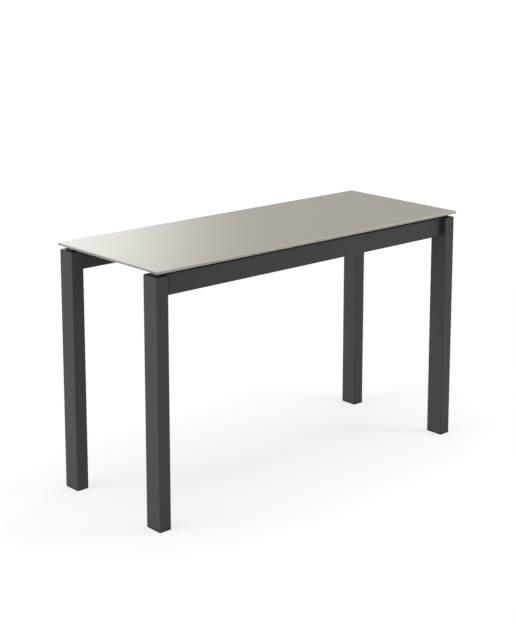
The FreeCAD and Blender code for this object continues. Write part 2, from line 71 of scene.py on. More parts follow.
# Mean of Blender's noise.
MIDDLE_GREY = 0.5

# Octaves of finer noise in a finish's grain, in the drift of its tone and in drawn lines.
GRAIN_DETAIL = 3.0
DRIFT_DETAIL = 2.0
LINE_DETAIL = 4.0

# A display's brightness follows its values in a straight line up to a knee, and then as a power.
DISPLAY_TOP = 255
KNEE = 0.04045
KNEE_SLOPE = 12.92
POWER_OFFSET = 0.055
POWER = 2.4

Color = tuple[float, float, float, float]
Point = tuple[float, float, float]
Span = tuple[float, float]

WHITE: Color = (1.0, 1.0, 1.0, 1.0)


def linear(value: float) -> float:
    """Brightness that a display value stands for.

    Args:
        value: Display value, 0 to 255.

    Returns:
        The brightness, 0 to 1.
    """
    share = value / DISPLAY_TOP
    if share <= KNEE:
        return share / KNEE_SLOPE
    return ((share + POWER_OFFSET) / (1 + POWER_OFFSET)) ** POWER


def display(red: float, green: float, blue: float) -> Color:
    """Linear colour of a shade given by its display values, 0 to 255, with alpha 1."""
    return (linear(red), linear(green), linear(blue), 1.0)


class Side(Enum):
    """The two short ends of the table."""

    LEFT = "left"
    RIGHT = "right"


class Depth(Enum):
    """The two long sides of the table."""

    FRONT = "front"
    REAR = "rear"


class Slot(Enum):
    """Finishes, by the names of the record's material slots."""

    PAINTED_GLASS = "painted_glass"
    ANTHRACITE_STEEL = "anthracite_steel"
    ANTHRACITE_PLASTIC = "anthracite_plastic"
    BLACK_PLASTIC = "black_plastic"
    BLACK_CASTING = "black_casting"
    BLACK_SCREWS = "black_screws"
    ADHESIVE = "adhesive"
    STOP_RUBBER = "stop_rubber"
    SLIDE_STEEL = "slide_steel"
    RAIL_ALUMINIUM = "rail_aluminium"
    ZINC_FASTENERS = "zinc_fasteners"


class Run(Enum):
    """Direction in which a drawn profile runs, as how far its lines are drawn out along X, Y and Z."""

    ALONG_X = (0.01, 1.0, 1.0)
    ALONG_Y = (1.0, 0.01, 1.0)


class Mixed(Enum):
    """What a mix node mixes: its data type, and the places of its two inputs and its output."""

    NUMBER = ("FLOAT", 2, 3, 0)
    COLOR = ("RGBA", 6, 7, 2)


class NodeBench:
    """Places nodes in one tree and links them."""

    def __init__(self, tree: bpy.types.NodeTree) -> None:
        """Work on the given tree."""
        self.tree = tree

    def add(self, kind: str, **settings: Any) -> bpy.types.Node:
        """Place a node.

        Args:
            kind: Blender's name of the node's type.
            **settings: Properties of the node and their values.

        Returns:
            The new node.
        """
        node = self.tree.nodes.new(kind)
        for name, value in settings.items():
            setattr(node, name, value)
        return node

    def feed(self, target: bpy.types.NodeSocket, source: Any) -> None:
        """Give a socket a link from another socket, or a plain value.

        Args:
            target: The input socket.
            source: An output socket, or the value to set.
        """
        if isinstance(source, bpy.types.NodeSocket):
            self.tree.links.new(source, target)
        else:
            target.default_value = source

    def math(self, operation: str, first: Any, second: Any = 0.0) -> bpy.types.NodeSocket:
        """Result of a math node.

        Args:
            operation: The node's operation.
            first: First socket or number.
            second: Second socket or number, where the operation takes one.

        Returns:
            The output socket.
        """
        node = self.add("ShaderNodeMath", operation=operation)
        self.feed(node.inputs[0], first)
        self.feed(node.inputs[1], second)
        return node.outputs[0]

    def ramp(self, value: Any, low: float, high: float) -> bpy.types.NodeSocket:
        """Smooth mask that is 0 up to the low value and 1 from the high one, or the other way round.

        Args:
            value: Socket to read.
            low: Value where the mask is 0.
            high: Value where the mask is 1.

        Returns:
            The mask's socket.
        """
        node = self.add("ShaderNodeMapRange", interpolation_type="SMOOTHSTEP")
        self.feed(node.inputs["Value"], value)
        self.feed(node.inputs["From Min"], low)
        self.feed(node.inputs["From Max"], high)
        return node.outputs["Result"]

    def mix(self, mask: Any, base: Any, over: Any, kind: Mixed = Mixed.COLOR) -> bpy.types.NodeSocket:
        """Colour or number that goes from one to another with a mask.

        Args:
            mask: Socket or number, 0 for the base.
            base: Socket, colour or number used where the mask is 0.
            over: Socket, colour or number used where the mask is 1.
            kind: Whether colours or numbers are mixed.

        Returns:
            The mixed colour's or number's socket.
        """
        data_type, base_place, over_place, result_place = kind.value
        node = self.add("ShaderNodeMix", data_type=data_type)
        self.feed(node.inputs[0], mask)
        self.feed(node.inputs[base_place], base)
        self.feed(node.inputs[over_place], over)
        return node.outputs[result_place]

    def blend(self, mask: Any, base: Any, over: Any) -> bpy.types.NodeSocket:
        """Number that goes from one to another with a mask, as colours do in mix."""
        return self.mix(mask, base, over, Mixed.NUMBER)

    def bump(self, height: bpy.types.NodeSocket, distance: float) -> bpy.types.NodeSocket:
        """Normal of a surface with a fine relief.

        Args:
            height: Socket with the relief from 0 to 1.
            distance: Height of the relief in metres.

        Returns:
            The normal's socket.
        """
        node = self.add("ShaderNodeBump")
        self.feed(node.inputs["Distance"], distance)
        self.feed(node.inputs["Height"], height)
        return node.outputs["Normal"]


class SurfaceGroup:
    """A shader node group that varies a colour, a roughness and a height over a surface."""

    def __init__(self, name: str) -> None:
        """Start an empty group with the sockets that every such group has.

        Args:
            name: The group in plain words.
        """
        self.tree = bpy.data.node_groups.new(name, "ShaderNodeTree")
        self.bench = NodeBench(self.tree)
        for label, kind in (
            ("Color", "NodeSocketColor"),
            ("Tone Spread", "NodeSocketFloat"),
            ("Roughness", "NodeSocketFloat"),
            ("Roughness Spread", "NodeSocketFloat"),
        ):
            self.socket(label, "INPUT", kind)
        for label, kind in (
            ("Color", "NodeSocketColor"),
            ("Roughness", "NodeSocketFloat"),
            ("Height", "NodeSocketFloat"),
        ):
            self.socket(label, "OUTPUT", kind)
        self.coordinates = self.bench.add("ShaderNodeTexCoord").outputs["Object"]

    def socket(self, label: str, way: str, kind: str) -> None:
        """Add a named socket to the group's face, for input or output."""
        self.tree.interface.new_socket(label, in_out=way, socket_type=kind)

    def noise(self, scale: Any, detail: float, place: Any = None) -> bpy.types.NodeSocket:
        """Noise centred on zero.

        Args:
            scale: Socket or number, features per metre.
            detail: Octaves of finer noise.
            place: Socket with the coordinates, or None for the object's own.

        Returns:
            Socket with values from about -0.5 to 0.5.
        """
        node = self.bench.add("ShaderNodeTexNoise")
        self.bench.feed(node.inputs["Vector"], place or self.coordinates)
        self.bench.feed(node.inputs["Scale"], scale)
        self.bench.feed(node.inputs["Detail"], detail)
        return self.bench.math("SUBTRACT", node.outputs["Fac"], MIDDLE_GREY)

    def finish(self, face: bpy.types.Node, tone: Any, grain: Any) -> bpy.types.NodeTree:
        """Lead the tone and the grain to the group's outputs.

        Args:
            face: The group's input node.
            tone: Noise that lightens and darkens the colour.
            grain: Noise that roughens the surface and gives the relief.

        Returns:
            The finished group.
        """
        bench = self.bench
        shade = bench.math("ADD", 1.0, bench.math("MULTIPLY", tone, face.outputs["Tone Spread"]))
        tint = bench.add("ShaderNodeVectorMath", operation="SCALE")
        bench.feed(tint.inputs[0], face.outputs["Color"])
        bench.feed(tint.inputs["Scale"], shade)
        ripple = bench.math("MULTIPLY", grain, face.outputs["Roughness Spread"])
        out = bench.add("NodeGroupOutput")
        bench.feed(out.inputs["Color"], tint.outputs["Vector"])
        bench.feed(out.inputs["Roughness"], bench.math("ADD", face.outputs["Roughness"], ripple))
        bench.feed(out.inputs["Height"], bench.math("ADD", grain, MIDDLE_GREY))
        return self.tree


class SharedGroups:
    """The node groups that several finishes use."""

    def __init__(self) -> None:
        """Build each group once."""
        self.fine_grain = self.build_fine_grain()
        self.drawn_lines = self.build_drawn_lines()

    @staticmethod
    def build_fine_grain() -> bpy.types.NodeTree:
        """Even grain of a coat, a moulding or an etched pane, with a slow drift of its tone.

        Returns:
            The finished group.
        """
        group = SurfaceGroup("fine grain")
        group.socket("Grain Scale", "INPUT", "NodeSocketFloat")
        group.socket("Drift Scale", "INPUT", "NodeSocketFloat")
        face = group.bench.add("NodeGroupInput")
        grain = group.noise(face.outputs["Grain Scale"], GRAIN_DETAIL)
        drift = group.noise(face.outputs["Drift Scale"], DRIFT_DETAIL)
        return group.finish(face, group.bench.math("ADD", grain, drift), grain)

    @staticmethod
    def build_drawn_lines() -> bpy.types.NodeTree:
        """Lines along a profile that was drawn or extruded through a die.

        Returns:
            The finished group.
        """
        group = SurfaceGroup("drawn lines")
        group.socket("Line Scale", "INPUT", "NodeSocketFloat")
        group.socket("Run", "INPUT", "NodeSocketVector")
        face = group.bench.add("NodeGroupInput")
        stretch = group.bench.add("ShaderNodeVectorMath", operation="MULTIPLY")
        group.bench.feed(stretch.inputs[0], group.coordinates)
        group.bench.feed(stretch.inputs[1], face.outputs["Run"])
        lines = group.noise(face.outputs["Line Scale"], LINE_DETAIL, stretch.outputs["Vector"])
        return group.finish(face, lines, lines)


@dataclass(frozen=True)
class Texture:
    """How much a finish varies over its surface, and the size of its grain.

    Attributes:
        tone_spread: Share by which the colour varies.
        roughness_spread: Amount by which the roughness varies.
        scale: Grains or lines per metre.
        height: Height of the relief in metres.
    """

    tone_spread: float
    roughness_spread: float
    scale: float
    height: float


def new_material(name: str) -> tuple[NodeBench, bpy.types.Node, bpy.types.Material]:
    """Material with an empty Principled shader.

    Args:
        name: The finish in plain words.

    Returns:
        The bench of its tree, its Principled shader and the material.
    """
    material = bpy.data.materials.new(name)
    material.use_nodes = True
    shader = material.node_tree.nodes["Principled BSDF"]
    return NodeBench(material.node_tree), shader, material


def vary_surface(
    bench: NodeBench,
    shader: bpy.types.Node,
    group: bpy.types.NodeTree,
    color: Any,
    roughness: Any,
    texture: Texture,
    **extra: Any,
) -> None:
    """Place a surface group in a material with its own values, and lead it to the shader.

    Args:
        bench: The material's bench.
        shader: The material's Principled shader.
        group: The shared group.
        color: Colour or socket that the group varies.
        roughness: Number or socket that the group varies.
        texture: The finish's texture.
        **extra: Values of the sockets that only this group has, with words joined by underscores.
    """
    node = bench.add("ShaderNodeGroup", node_tree=group)
    bench.feed(node.inputs["Color"], color)
    bench.feed(node.inputs["Tone Spread"], texture.tone_spread)
    bench.feed(node.inputs["Roughness"], roughness)
    bench.feed(node.inputs["Roughness Spread"], texture.roughness_spread)
    for name, value in extra.items():
        bench.feed(node.inputs[name.replace("_", " ").title()], value)
    bench.feed(shader.inputs["Base Color"], node.outputs["Color"])
    bench.feed(shader.inputs["Roughness"], node.outputs["Roughness"])
    bench.feed(shader.inputs["Normal"], bench.bump(node.outputs["Height"], texture.height))


@dataclass(frozen=True)
class GrainedFinish:
    """Coat, moulding, rubber, tape or plating with an even grain.

    Attributes:
        name: The finish in plain words.
        color: Its colour.
        roughness: Its roughness before the grain varies it.
        texture: How much it varies.
        specular: Its gloss at right angles, where 0.5 is plain plastic or paint.
        metallic: Share of bare metal.
        drift_scale: Slow changes of tone per metre.
    """

    name: str
    color: Color
    roughness: float
    texture: Texture
    specular: float = 0.5
    metallic: float = 0.0
    drift_scale: float = 5.0

    def material(self, groups: SharedGroups) -> bpy.types.Material:
        """Build the finish.

        Args:
            groups: The shared node groups.

        Returns:
            The material.
        """
        bench, shader, material = new_material(self.name)
        shader.inputs["Metallic"].default_value = self.metallic
        shader.inputs["Specular IOR Level"].default_value = self.specular
        vary_surface(
            bench,
            shader,
            groups.fine_grain,
            self.color,
            self.roughness,
            self.texture,
            grain_scale=self.texture.scale,
            drift_scale=self.drift_scale,
        )
        return material


@dataclass(frozen=True)
class DrawnMetalFinish:
    """Bare or plated metal with the lines of the die that it was drawn through.

    Attributes:
        name: The finish in plain words.
        color: Its colour.
        roughness: Its roughness before the lines vary it.
        texture: How much it varies.
        run: Direction of the lines.
    """

    name: str
    color: Color
    roughness: float
    texture: Texture
    run: Run = Run.ALONG_X

    def material(self, groups: SharedGroups) -> bpy.types.Material:
        """Build the finish.

        Args:
            groups: The shared node groups.

        Returns:
            The material.
        """
        bench, shader, material = new_material(self.name)
        shader.inputs["Metallic"].default_value = 1.0
        vary_surface(
            bench,
            shader,
            groups.drawn_lines,
            self.color,
            self.roughness,
            self.texture,
            line_scale=self.texture.scale,
            run=self.run.value,
        )
        return material


@dataclass(frozen=True)
class PaintedGlassFinish:
    """Glass with a satin face, painted behind, with ground arrises and polished edges.

    The edges across the length are painted darker than those along it, as painted shade for the
    different depths of glass that they show, and where one looks along an edge, as at the round
    corners, it is painted darker and greener: the glass's own green tint with painted shade. Each
    span below gives the values between which one surface goes over into another.

    Attributes:
        name: The finish in plain words.
        face: Colour of the upper face.
        long_edge: Colour of the edges along the length.
        end_edge: Colour of the edges across it, darker than the long edges as painted shade.
        corner: Colour of an edge that one looks along, darker and greener: the glass's green tint with
            painted shade.
        arris: Colour of the ground arrises, paler ground glass with a painted highlight.
        paint_back: Colour of the paint, seen from below.
        face_roughness: Roughness of the upper face.
        edge_roughness: Roughness of the edges and arrises.
        back_roughness: Roughness of the paint.
        texture: How much the glass varies.
        drift_scale: Slow changes of tone per metre.
        flat: Span from arris to face, by how far the surface is level.
        slanted: Span from edge to arris, by how far the surface is level.
        endwise: Span from long edge to end edge, by how far the surface faces along the length.
        glancing: Span from edge to corner, by how far one looks along the surface.
    """

    name: str
    face: Color
    long_edge: Color
    end_edge: Color
    corner: Color
    arris: Color
    paint_back: Color
    face_roughness: float
    edge_roughness: float
    back_roughness: float
    texture: Texture
    drift_scale: float
    flat: Span = (0.85, 0.95)
    slanted: Span = (0.3, 0.5)
    endwise: Span = (0.6, 0.8)
    glancing: Span = (0.45, 0.75)

    def material(self, groups: SharedGroups) -> bpy.types.Material:
        """Build the finish.

        Args:
            groups: The shared node groups.

        Returns:
            The material.
        """
        bench, shader, material = new_material(self.name)
        geometry = bench.add("ShaderNodeNewGeometry")
        split = bench.add("ShaderNodeSeparateXYZ")
        bench.feed(split.inputs[0], geometry.outputs["Normal"])
        along, _, up = split.outputs
        levelness = bench.math("ABSOLUTE", up)
        flat = bench.ramp(levelness, *self.flat)
        slanted = bench.ramp(levelness, *self.slanted)
        under = bench.ramp(up, *(-limit for limit in self.flat))
        at_end = bench.ramp(bench.math("ABSOLUTE", along), *self.endwise)
        # Painted shade: the end edges take a darker colour than the long edges.
        edge = bench.mix(at_end, self.long_edge, self.end_edge)
        # Painted shade: where one looks along an edge it goes darker and greener, over the glass's own
        # green tint.
        facing = bench.add("ShaderNodeLayerWeight").outputs["Facing"]
        edge = bench.mix(bench.ramp(facing, *self.glancing), edge, self.corner)
        # Painted highlight: the arrises take a paler colour, partly the ground glass's own paleness.
        rim = bench.mix(slanted, edge, self.arris)
        color = bench.mix(under, bench.mix(flat, rim, self.face), self.paint_back)
        roughness = bench.blend(flat, self.edge_roughness, self.face_roughness)
        roughness = bench.blend(under, roughness, self.back_roughness)
        vary_surface(
            bench,
            shader,
            groups.fine_grain,
            color,
            roughness,
            self.texture,
            grain_scale=self.texture.scale,
            drift_scale=self.drift_scale,
        )
        return material


Finish = GrainedFinish | DrawnMetalFinish | PaintedGlassFinish

MOULDED_PLASTIC = GrainedFinish(
    "anthracite moulded plastic",
    color=display(60, 60, 61),
    roughness=0.5,
    texture=Texture(tone_spread=0.12, roughness_spread=0.15, scale=2600.0, height=0.00003),
    specular=0.3,
)

RAIL_PROFILE = DrawnMetalFinish(
    "dark anodised aluminium profile",
    color=display(84, 85, 87),
    roughness=0.42,
    texture=Texture(tone_spread=0.08, roughness_spread=0.2, scale=900.0, height=0.00002),
)

FINISHES: dict[tuple[Slot, Run], Finish] = {
    (Slot.PAINTED_GLASS, Run.ALONG_X): PaintedGlassFinish(
        "satin glass painted warm grey",
        face=display(170, 164, 153),
        long_edge=display(166, 159, 148),
        # The end edges are darker than the long edges as painted shade.
        end_edge=display(134, 129, 122),
        # Edge seen edge-on: the glass's green tint with painted shade.
        corner=display(96, 99, 93),
        # Arrises: paler ground glass with a painted highlight.
        arris=display(212, 205, 195),
        paint_back=display(150, 146, 137),
        face_roughness=0.27,
        edge_roughness=0.16,
        back_roughness=0.7,
        texture=Texture(tone_spread=0.015, roughness_spread=0.04, scale=1800.0, height=0.000002),
        drift_scale=2.0,
    ),
    (Slot.ANTHRACITE_STEEL, Run.ALONG_X): GrainedFinish(
        "anthracite fine texture coat",
        color=display(63, 63, 63),
        roughness=0.55,
        texture=Texture(tone_spread=0.1, roughness_spread=0.12, scale=1500.0, height=0.00004),
        specular=0.25,
    ),
    (Slot.ANTHRACITE_PLASTIC, Run.ALONG_X): MOULDED_PLASTIC,
    # The foot plugs take the moulded plastic in black, darkened further as painted shade where they
    # meet the floor.
    (Slot.BLACK_PLASTIC, Run.ALONG_X): replace(
        MOULDED_PLASTIC, name="black moulded plastic with painted floor shade", color=display(30, 30, 31)
    ),
    (Slot.BLACK_CASTING, Run.ALONG_X): GrainedFinish(
        "black coated casting",
        color=display(58, 58, 59),
        roughness=0.6,
        texture=Texture(tone_spread=0.15, roughness_spread=0.12, scale=900.0, height=0.00008),
        specular=0.3,
    ),
    (Slot.BLACK_SCREWS, Run.ALONG_X): GrainedFinish(
        "black oxide screws",
        color=display(36, 36, 37),
        roughness=0.4,
        texture=Texture(tone_spread=0.2, roughness_spread=0.15, scale=700.0, height=0.00002),
        metallic=0.6,
    ),
    (Slot.ADHESIVE, Run.ALONG_X): GrainedFinish(
        "black foam tape",
        color=display(32, 32, 33),
        roughness=0.9,
        texture=Texture(tone_spread=0.3, roughness_spread=0.1, scale=1100.0, height=0.00015),
        specular=0.2,
    ),
    (Slot.STOP_RUBBER, Run.ALONG_X): GrainedFinish(
        "black stop rubber",
        color=display(27, 27, 27),
        roughness=0.82,
        texture=Texture(tone_spread=0.2, roughness_spread=0.1, scale=700.0, height=0.00006),
        specular=0.3,
    ),
    (Slot.SLIDE_STEEL, Run.ALONG_X): DrawnMetalFinish(
        "bright plated slide steel",
        color=display(186, 188, 192),
        roughness=0.3,
        texture=Texture(tone_spread=0.12, roughness_spread=0.25, scale=1400.0, height=0.00002),
    ),
    (Slot.RAIL_ALUMINIUM, Run.ALONG_X): RAIL_PROFILE,
    (Slot.RAIL_ALUMINIUM, Run.ALONG_Y): replace(
        RAIL_PROFILE, name="dark anodised aluminium cross profile", run=Run.ALONG_Y
    ),
    (Slot.ZINC_FASTENERS, Run.ALONG_X): GrainedFinish(
        "zinc plated fasteners",
        color=display(170, 172, 175),
        roughness=0.34,
        texture=Texture(tone_spread=0.2, roughness_spread=0.2, scale=600.0, height=0.00002),
        metallic=1.0,
    ),
}


class FinishShop:
    """Holds every finish as a material and puts them on pieces and nodes."""

    def __init__(self, nodes: dict[str, bpy.types.Object]) -> None:
        """Build each finish once.

        Args:
            nodes: The frame's nodes by name.
        """
        groups = SharedGroups()
        self.nodes = nodes
        self.materials = {key: finish.material(groups) for key, finish in FINISHES.items()}

    def dress_node(self, name: str, slot: Slot, run: Run = Run.ALONG_X) -> None:
        """Put a finish on a node of the frame.

        Args:
            name: The node.
            slot: Its finish.
            run: Direction of its lines.
        """
        for holder in self.nodes[name].material_slots:
            holder.material = self.materials[slot, run]
        LOG.info("node %s: %s", name, self.materials[slot, run].name)

    def dress_piece(self, piece: bpy.types.Object, slot: Slot) -> None:
        """Put a finish on a new piece.

        Args:
            piece: The piece.
            slot: Its finish.
        """
        material = self.materials[slot, Run.ALONG_X]
        piece.data.materials.append(material)
        LOG.info("piece %s: %s", piece.name, material.name)


@dataclass(frozen=True)
class RoundedOutline:
    """Rectangle with round corners, level and centred on a point.

    Attributes:
        width: Extent along X.
        depth: Extent along Y.
        corner: Corner radius.
        steps: Facets of each corner.
    """

    width: float
    depth: float
    corner: float
    steps: int = 6

    def ring(self, centre: Vector, inset: float = 0.0) -> list[Vector]:
        """Points of the outline.

        Args:
            centre: Its middle.
            inset: How far the outline is drawn inwards.

        Returns:
            The points in order, each corner with the same number of them.
        """
        half_width = self.width / 2 - inset
        half_depth = self.depth / 2 - inset
        radius = max(self.corner - inset, SHARPEST_CORNER)
        points = []
        for quarter, (x_sign, y_sign) in enumerate(((1, 1), (-1, 1), (-1, -1), (1, -1))):
            turn = Vector((x_sign * (half_width - radius), y_sign * (half_depth - radius), 0.0))
            for step in range(self.steps + 1):
                angle = (quarter + step / self.steps) * math.pi / 2
                points.append(centre + turn + radius * Vector((math.cos(angle), math.sin(angle), 0.0)))
        return points


def rounding(radius: float, steps: int = 4) -> Iterator[tuple[float, float]]:
    """Inset and rise along a quarter round, from its upright side to its level one.

    Args:
        radius: Radius of the round.
        steps: Number of facets.

    Yields:
        The inset from the upright side, and the rise above the start of the round.
    """
    for step in range(steps + 1):
        angle = step / steps * math.pi / 2
        yield radius * (1 - math.cos(angle)), radius * math.sin(angle)


class Loft:
    """Closed mesh skinned over a stack of rings with the same number of points."""

    def __init__(self, name: str, middle: Vector) -> None:
        """Start an empty stack.

        Args:
            name: The piece's name.
            middle: Plan position of the stack.
        """
        self.name = name
        self.middle = middle
        self.rings: list[list[Vector]] = []

    def level(self, outline: RoundedOutline, height: float, inset: float = 0.0) -> None:
        """Add a ring.

        Args:
            outline: Its outline.
            height: Its height above the floor.
            inset: How far the outline is drawn inwards.
        """
        self.rings.append(outline.ring(Vector((self.middle.x, self.middle.y, height)), inset))

    def build(self, body: str, hollow: bool = False) -> bpy.types.Object:
        """Skin the rings, and have the piece ride on a body.

        Args:
            body: The CAD body that carries the piece.
            hollow: Whether the last ring joins the first, as in a tube, or both ends are covered.

        Returns:
            The piece.
        """
        work = bmesh.new()
        loops = [[work.verts.new(point) for point in ring] for ring in self.rings]
        pairs = list(zip(loops, loops[1:]))
        if hollow:
            pairs.append((loops[-1], loops[0]))
        else:
            work.faces.new(reversed(loops[0]))
            work.faces.new(loops[-1])
        for lower, upper in pairs:
            for index, corner in enumerate(lower):
                work.faces.new((lower[index - 1], corner, upper[index], upper[index - 1]))
        bmesh.ops.recalc_face_normals(work, faces=work.faces)
        for face in work.faces:
            face.smooth = True
        mesh = bpy.data.meshes.new(self.name)
        work.to_mesh(mesh)
        work.free()
        mesh.set_sharp_from_angle(angle=SHARP_ANGLE)
        piece = bpy.data.objects.new(self.name, mesh)
        bpy.context.scene.collection.objects.link(piece)
        normals = piece.modifiers.new("flat faces stay flat", "WEIGHTED_NORMAL")
        normals.keep_sharp = True
        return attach(piece, body)


def plan_of(low: Vector, high: Vector, corner: float) -> tuple[RoundedOutline, Vector]:
    """Outline with a corner radius, and middle, of the box between two corners, seen from above."""
    return RoundedOutline(high.x - low.x, high.y - low.y, corner), (low + high) / 2


@dataclass(frozen=True)
class GlassPane:
    """A pane with round corners, ground arrises and polished edges.

    Attributes:
        node: The CAD node that the pane stands for.
        body: The CAD body that carries it.
        corner: Corner radius in plan.
        arris: Width of the ground arrises.
        corner_steps: Facets of each round corner.
    """

    node: str
    body: str
    corner: float
    arris: float = 0.0012
    corner_steps: int = 12

    def build(self, shop: FinishShop) -> bpy.types.Object:
        """Build the pane in its node's place and dress it.

        Args:
            shop: The finishes.

        Returns:
            The pane.
        """
        low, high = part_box(self.node)
        plan, middle = plan_of(low, high, self.corner)
        outline = replace(plan, steps=self.corner_steps)
        loft = Loft(self.node.replace("glass", "pane"), middle)
        loft.level(outline, low.z, self.arris)
        loft.level(outline, low.z + self.arris)
        loft.level(outline, high.z - self.arris)
        loft.level(outline, high.z, self.arris)
        pane = loft.build(self.body)
        shop.dress_piece(pane, Slot.PAINTED_GLASS)
        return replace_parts(pane, self.node)


@dataclass(frozen=True)
class TableTop:
    """The fixed pane and the pads that bond it to the legs.

    Attributes:
        corner: Corner radius of the pane in plan.
    """

    corner: float = 0.004

    def build(self, shop: FinishShop) -> None:
        """Build the pane and dress the pads.

        Args:
            shop: The finishes.
        """
        GlassPane("top_glass", "frame", self.corner).build(shop)
        shop.dress_node("glass_adhesive_pads", Slot.ADHESIVE)


@dataclass(frozen=True)
class LegFrame:
    """Legs with caps and foot plugs, and the aprons, connectors and fasteners between them.

    Attributes:
        wall: Wall of the leg tube.
        corner: Corner radius of the leg tube.
        rim: Rounding of the leg's top rim.
        burr: Small bevel where the tube is cut off at the foot.
        plug_gap: Room between a tube and what is pushed into it.
        foot_round: Rounding of the foot plug where it meets the floor.
        seam: Depth of the groove between foot plug and tube.
        boss_width: Width of the boss under the glass.
        boss_depth: Depth of the boss under the glass.
        boss_corner: Corner radius of the boss.
        boss_round: Rounding of the boss's top rim.
    """

    wall: float = 0.002
    corner: float = 0.003
    rim: float = 0.0014
    burr: float = 0.0004
    plug_gap: float = 0.0002
    foot_round: float = 0.0008
    seam: float = 0.0005
    boss_width: float = 0.02
    boss_depth: float = 0.03
    boss_corner: float = 0.003
    boss_round: float = 0.0006

    def build(self, shop: FinishShop) -> None:
        """Build the four corners, then dress the nodes that stay.

        Args:
            shop: The finishes.
        """
        for depth in Depth:
            for side in Side:
                corner = f"{depth.value}_{side.value}"
                self.build_leg(corner, shop)
                self.build_foot(corner, shop)
                self.build_cap(corner, shop)
                shop.dress_node(f"apron_connector_{corner}", Slot.BLACK_CASTING)
            shop.dress_node(f"apron_{depth.value}", Slot.ANTHRACITE_STEEL)
        for name in ("connector_bolts", "tongue_screws"):
            shop.dress_node(name, Slot.BLACK_SCREWS)
        shop.dress_node("leg_nut_plates", Slot.ZINC_FASTENERS)

    def build_leg(self, corner: str, shop: FinishShop) -> None:
        """Build a leg tube with a rounded top rim.

        Args:
            corner: The leg's corner.
            shop: The finishes.
        """
        low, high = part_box(f"leg_{corner}")
        outline, middle = plan_of(low, high, self.corner)
        loft = Loft(f"leg_tube_{corner}", middle)
        loft.level(outline, low.z, self.burr)
        loft.level(outline, low.z + self.burr)
        for inset, rise in rounding(self.rim):
            loft.level(outline, high.z - self.rim + rise, inset)
        loft.level(outline, high.z, self.wall)
        loft.level(outline, low.z, self.wall)
        leg = loft.build("frame", hollow=True)
        shop.dress_piece(leg, Slot.ANTHRACITE_STEEL)
        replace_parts(leg, f"leg_{corner}")

    def build_foot(self, corner: str, shop: FinishShop) -> None:
        """Build a foot plug with a soft lower edge and a seam under the tube.

        Args:
            corner: The leg's corner.
            shop: The finishes.
        """
        low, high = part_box(f"foot_plug_{corner}")
        tube_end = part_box(f"leg_{corner}")[0].z
        flange, middle = plan_of(low, high, self.corner)
        insert = self.wall + self.plug_gap
        loft = Loft(f"foot_{corner}", middle)
        for inset, rise in reversed(list(rounding(self.foot_round))):
            loft.level(flange, self.foot_round - rise, inset)
        loft.level(flange, tube_end - self.seam)
        loft.level(flange, tube_end, self.seam)
        loft.level(flange, tube_end, insert)
        loft.level(flange, high.z, insert)
        foot = loft.build("frame")
        # The foot's finish is darker than the caps' plastic: black plastic, with painted shade at the
        # floor.
        shop.dress_piece(foot, Slot.BLACK_PLASTIC)
        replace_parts(foot, f"foot_plug_{corner}")

    def build_cap(self, corner: str, shop: FinishShop) -> None:
        """Build a leg cap with the boss that lifts the glass.

        Args:
            corner: The leg's corner.
            shop: The finishes.
        """
        low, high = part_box(f"leg_cap_{corner}")
        tube_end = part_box(f"leg_{corner}")[1].z
        insert, middle = plan_of(low, high, SHARPEST_CORNER)
        boss = RoundedOutline(self.boss_width, self.boss_depth, self.boss_corner)
        loft = Loft(f"cap_{corner}", middle)
        loft.level(insert, low.z)
        loft.level(insert, tube_end)
        loft.level(boss, tube_end)
        for inset, rise in rounding(self.boss_round):
            loft.level(boss, high.z - self.boss_round + rise, inset)
        cap = loft.build("frame")
        shop.dress_piece(cap, Slot.ANTHRACITE_PLASTIC)
        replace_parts(cap, f"leg_cap_{corner}")


@dataclass(frozen=True)
class RailBed:
    """Cross rails between the aprons, the slide rails on them, and what is fixed to both.

    Attributes:
        cross_rails: Where the cross rails lie along the table.
    """

    cross_rails: tuple[str, ...] = ("left", "centre", "right")

    def build(self, shop: FinishShop) -> None:
        """Dress the rails, their screws, the slides' outer members and the stops.

        Args:
            shop: The finishes.
        """
        for position in self.cross_rails:
            shop.dress_node(f"cross_rail_{position}", Slot.ANTHRACITE_STEEL)
        for depth in Depth:
            shop.dress_node(f"slide_rail_{depth.value}", Slot.RAIL_ALUMINIUM)
            for side in Side:
                shop.dress_node(f"{side.value}_{depth.value}_slide_outer", Slot.SLIDE_STEEL)
        for name in ("rail_screws", "slide_screws"):
            shop.dress_node(name, Slot.ZINC_FASTENERS)
        shop.dress_node("leaf_stops", Slot.STOP_RUBBER)


@dataclass(frozen=True)
class DrawLeaf:
    """A leaf with its bearers, tie bar and the moving members of its slides.

    Attributes:
        side: The end of the table that it draws out of.
        corner: Corner radius of the pane in plan.
    """

    side: Side
    corner: float = 0.006

    def build(self, shop: FinishShop) -> None:
        """Build the pane and dress what carries it.

        Args:
            shop: The finishes.
        """
        side = self.side.value
        GlassPane(f"{side}_leaf_glass", f"{side}_leaf", self.corner).build(shop)
        for depth in Depth:
            shop.dress_node(f"{side}_{depth.value}_leaf_bearer", Slot.RAIL_ALUMINIUM)
            for member in ("middle", "inner"):
                shop.dress_node(f"{side}_{depth.value}_slide_{member}", Slot.SLIDE_STEEL)
        shop.dress_node(f"{side}_leaf_tie_bar", Slot.RAIL_ALUMINIUM, Run.ALONG_Y)
        shop.dress_node(f"{side}_leaf_adhesive", Slot.ADHESIVE)
        shop.dress_node(f"{side}_bearer_screws", Slot.ZINC_FASTENERS)


